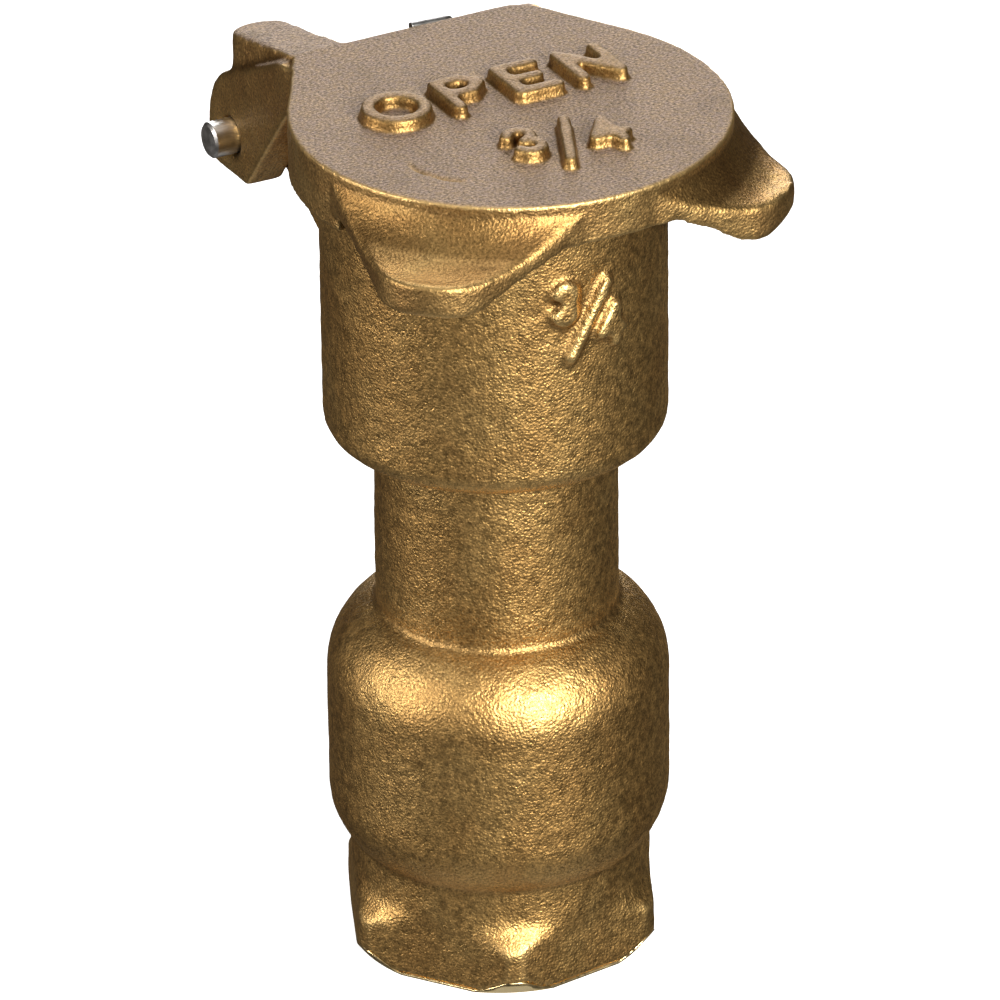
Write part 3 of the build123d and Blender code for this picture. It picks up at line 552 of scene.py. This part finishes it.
def cover_piece():
    """The cover: a rough cast skin, with its raised word and its flat top marked for the material."""
    cover = welded_copy("cover", "cover_casting")
    remeshed(cover, COVER_VOXEL)
    mesh = cover.data
    edges = edges_of(mesh)
    move_points(mesh, smoothed(points_of(mesh), edges, 4))
    co, normal = points_of(mesh), normals_of(mesh)
    raised = blurred((co[:, 2] > TOP_Z + 0.00025).astype(float), edges, 2)
    co = softened(co, edges, raised, 9)
    reach = np.hypot(co[:, 0] - COVER_X, co[:, 1] - COVER_Y)
    outer = (reach > COVER_EDGE_R) & (co[:, 2] < TOP_Z - 0.0008)
    co = softened(co, edges, blurred(outer.astype(float), edges, 4), 14)
    move_points(mesh, co)
    normal = normals_of(mesh)
    flat = (normal[:, 2] > 0.86) & (co[:, 2] > TOP_Z - 0.0002)
    flat |= (normal[:, 2] > 0.72) & (co[:, 1] > COVER_REAR_Y) & (co[:, 2] > TOP_Z - COVER_REAR_DROP)
    flat = blurred(flat.astype(float), edges, 1) * (1.0 - 0.45 * raised)
    bend = edge_and_hollow(mesh, 1)
    lumps = 0.05 * noise(co, 4 * MM, 11) + 0.03 * noise(co, 1.6 * MM, 12) + 0.025 * noise(co, 0.8 * MM, 13)
    co = co + normal * (lumps * MM * (1.0 - 0.6 * flat))[:, None]
    scratch = scratched(co)
    co[:, 2] -= SCRATCH_DEPTH * scratch
    move_points(mesh, inside_box(co, "cover"))
    # painted shade: marks the ears' sloping dished faces below the plate for darkening
    recess_shade = (np.abs(normal[:, 2] - 0.5) < 0.36) & (co[:, 2] < TOP_Z - 0.0010)
    add_attribute(mesh, "recess_shade", blurred(recess_shade.astype(float), edges, 6))
    # the letters and a blurred ring round their feet, for the letters' darker tone and the painted shade
    # round them
    add_attribute(mesh, "raised", blurred(raised, edges, 2))
    add_attribute(mesh, "flat_top", flat * (1.0 - 0.9 * scratch))
    add_attribute(mesh, "edge", (bend / (0.030 * MM)).clip(0, 1) * (1.0 - 0.6 * raised))
    # painted shade: darker colour in creases and in the scratch grooves
    add_attribute(mesh, "crease_shade", np.maximum(-bend / (0.020 * MM), scratch).clip(0, 1))
    finish_skin(cover, "cover", "cover", "cover_brass")


body_pieces()
cover_piece()

# ---------------------------------------------------------------- springs


WIRE_SIDES = 14


def wire(name, path, radius, body, *replaced):
    """A round wire of steel along a path of points, in metres, with flat ground ends."""
    path = np.array(path)
    ahead = np.gradient(path, axis=0)
    ahead /= np.linalg.norm(ahead, axis=1)[:, None]
    side = np.cross(ahead[0], (0.0, 0.0, 1.0) if abs(ahead[0][2]) < 0.9 else (1.0, 0.0, 0.0))
    angles = np.linspace(0.0, 2.0 * math.pi, WIRE_SIDES, endpoint=False)
    bm = bmesh.new()
    rings = []
    for point, forward in zip(path, ahead):
        side = side - forward * (side @ forward)
        side = side / np.linalg.norm(side)
        up = np.cross(forward, side)
        ring = [bm.verts.new(point + radius * (math.cos(a) * side + math.sin(a) * up)) for a in angles]
        rings.append(ring)
    for low, high in zip(rings, rings[1:]):
        for k in range(WIRE_SIDES):
            n = (k + 1) % WIRE_SIDES
            bm.faces.new((low[k], low[n], high[n], high[k]))
    bm.faces.new(rings[0][::-1])
    bm.faces.new(rings[-1])
    bmesh.ops.recalc_face_normals(bm, faces=bm.faces)
    for face in bm.faces:
        face.smooth = len(face.verts) == 4
    mesh = bpy.data.meshes.new(name)
    bm.to_mesh(mesh)
    bm.free()
    mesh.materials.append(MATERIALS["spring_steel"])
    obj = bpy.data.objects.new(name, mesh)
    scene.collection.objects.link(obj)
    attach(obj, body)
    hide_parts(*replaced)
    return obj


def rounded_path(corners, step, rounds):
    """Points every step along straight runs, with the corners smoothed."""
    points = []
    for a, b in zip(corners, corners[1:]):
        count = max(2, int((b - a).length / step))
        points += [a.lerp(b, k / count) for k in range(count)]
    path = np.array([*points, corners[-1]])
    for _ in range(rounds):
        path[1:-1] = 0.5 * path[1:-1] + 0.25 * (path[:-2] + path[2:])
    return path


# valve spring: its end turns are closed, and the turns between them open
low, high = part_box("valve_spring")
spring_wire_r = 0.6 * MM
spring_r = high.x - spring_wire_r
spring_turns = 5.5
turn = np.linspace(0.0, spring_turns, 300)
closed_rise = 1.3 * MM
end_turns = 0.9
spring_low, spring_high = low.z + spring_wire_r, high.z - spring_wire_r
open_low = spring_low + end_turns * closed_rise
open_high = spring_high - end_turns * closed_rise
height = np.interp(
    turn,
    [0.0, end_turns, spring_turns - end_turns, spring_turns],
    [spring_low, open_low, open_high, spring_high],
)
angle = 2.0 * math.pi * turn
coil = np.column_stack((spring_r * np.cos(angle), spring_r * np.sin(angle), height))
valve_spring = wire("valve_spring_wire", coil, spring_wire_r, "valve_body", "valve_spring")
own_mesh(valve_spring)

# cover spring: the coil and its lower leg stay with the body, the upper leg goes with the cover
pin_y, pin_z = 36.8 * MM, 92.5 * MM
coil_wire_r = 0.45 * MM
coil_r = 3.7 * MM
coil_turns = 6 + 104 / 360
coil_pitch = 1.3 * MM
coil_left = 0.8 * MM - coil_turns * coil_pitch / 2
coil_start_y, coil_start_z = 0.57, -0.82  # direction from the pin to the coil's first point
turn = np.linspace(0.0, coil_turns, 340)
angle = math.atan2(coil_start_z, coil_start_y) + 2.0 * math.pi * turn
coil = np.column_stack(
    (coil_left + coil_pitch * turn, pin_y + coil_r * np.cos(angle), pin_z + coil_r * np.sin(angle))
)
leg_foot = Vector((coil_left, 20.6 * MM, 78.0 * MM))
leg = rounded_path([leg_foot, Vector(coil[0])], 0.5 * MM, 0)
wire("cover_spring_coil", [*leg[:-1], *coil], coil_wire_r, "valve_body", "cover_spring")
hook_y = 24.37 * MM
hook_corner = Vector((7.6 * MM, hook_y, 107.5 * MM))
hook_end = Vector((2.2 * MM, hook_y, 107.7 * MM))
leg_clearance = Vector((0.5 * MM, 0.0, 0.0))
leg_root = Vector(coil[-1]) + leg_clearance
leg = rounded_path([leg_root, hook_corner, hook_end], 0.2 * MM, 14)
wire("cover_spring_leg", leg, coil_wire_r, "cover")

# ---------------------------------------------------------------- CAD nodes that keep their shape

SLOTS = {
    "hinge_pin": "pin_steel",
    "pin_clip": "spring_steel",
    "seal_ring": "spring_steel",
    "guide_ring": "spring_steel",
    "backup_washer": "turned_brass",
    "key_seal": "seal_rubber",
    "seat_washer": "seal_rubber",
    "valve_disc": "turned_brass",
    "washer_plate": "turned_brass",
    "valve_stem": "turned_brass",
    "stem_nut": "turned_brass",
    "spring_guide": "turned_brass",
}
for name, slot in SLOTS.items():
    nodes[name].data.materials.clear()
    nodes[name].data.materials.append(MATERIALS[slot])

# ---------------------------------------------------------------- floor, world and lights

floor_mesh = bpy.data.meshes.new("floor")
bm = bmesh.new()
bmesh.ops.create_circle(bm, cap_ends=True, radius=6.0, segments=96)
bm.to_mesh(floor_mesh)
bm.free()
floor = bpy.data.objects.new("floor", floor_mesh)
scene.collection.objects.link(floor)
floor_graph = Graph("floor_paper")
floor_graph.finish((0.60, 0.60, 0.60), 0.9, 0.0)
floor_graph.shader.inputs["Emission Color"].default_value = (1.0, 1.0, 1.0, 1.0)
floor_graph.shader.inputs["Emission Strength"].default_value = 0.85
floor_mesh.materials.append(floor_graph.material)
floor.visible_glossy = False
floor.visible_shadow = False

world = bpy.data.worlds.new("studio")
scene.world = world
world.use_nodes = True
tree = world.node_tree
surround = tree.nodes["Background"]
surround.inputs["Color"].default_value = (0.34, 0.31, 0.28, 1.0)
surround.inputs["Strength"].default_value = 0.10
backdrop = tree.nodes.new("ShaderNodeBackground")
backdrop.inputs["Color"].default_value = (1.0, 1.0, 1.0, 1.0)
backdrop.inputs["Strength"].default_value = 1.0
path = tree.nodes.new("ShaderNodeLightPath")
choose = tree.nodes.new("ShaderNodeMixShader")
tree.links.new(path.outputs["Is Camera Ray"], choose.inputs[0])
tree.links.new(surround.outputs[0], choose.inputs[1])
tree.links.new(backdrop.outputs[0], choose.inputs[2])
tree.links.new(choose.outputs[0], tree.nodes["World Output"].inputs["Surface"])


def softbox(name, azimuth, elevation, distance, width, height, power, colour=(1.0, 1.0, 1.0)):
    """A rectangular light that faces the valve. Its azimuth is measured to the right of the camera's.

    One below the floor stands for the light that a white floor sends back.
    """
    data = bpy.data.lights.new(name, "AREA")
    data.shape = "RECTANGLE"
    data.size = width
    data.size_y = height
    data.energy = power
    data.color = colour
    light = bpy.data.objects.new(name, data)
    scene.collection.objects.link(light)
    direction = polar(VIEW_AZIMUTH + math.radians(azimuth), math.radians(elevation))
    light.location = Vector((0.0, 0.0, LIGHT_AIM_Z)) + direction * distance
    light.rotation_mode = "QUATERNION"
    light.rotation_quaternion = (-direction).to_track_quat("-Z", "Y")


softbox("key", 27, 22, 1.2, 0.18, 0.6, 31.0, (1.0, 0.97, 0.92))
softbox("fill", -68, 16, 1.2, 0.30, 0.8, 11.0, (1.0, 0.94, 0.90))
softbox("top", 0, 88, 1.2, 0.8, 0.8, 4.0)
softbox("back", 180, 48, 1.4, 0.5, 0.5, 5.0)
softbox("rear", 180, 10, 1.4, 0.4, 0.8, 6.0)
softbox("bounce", 0, -84, 0.5, 0.5, 0.5, 0.4)
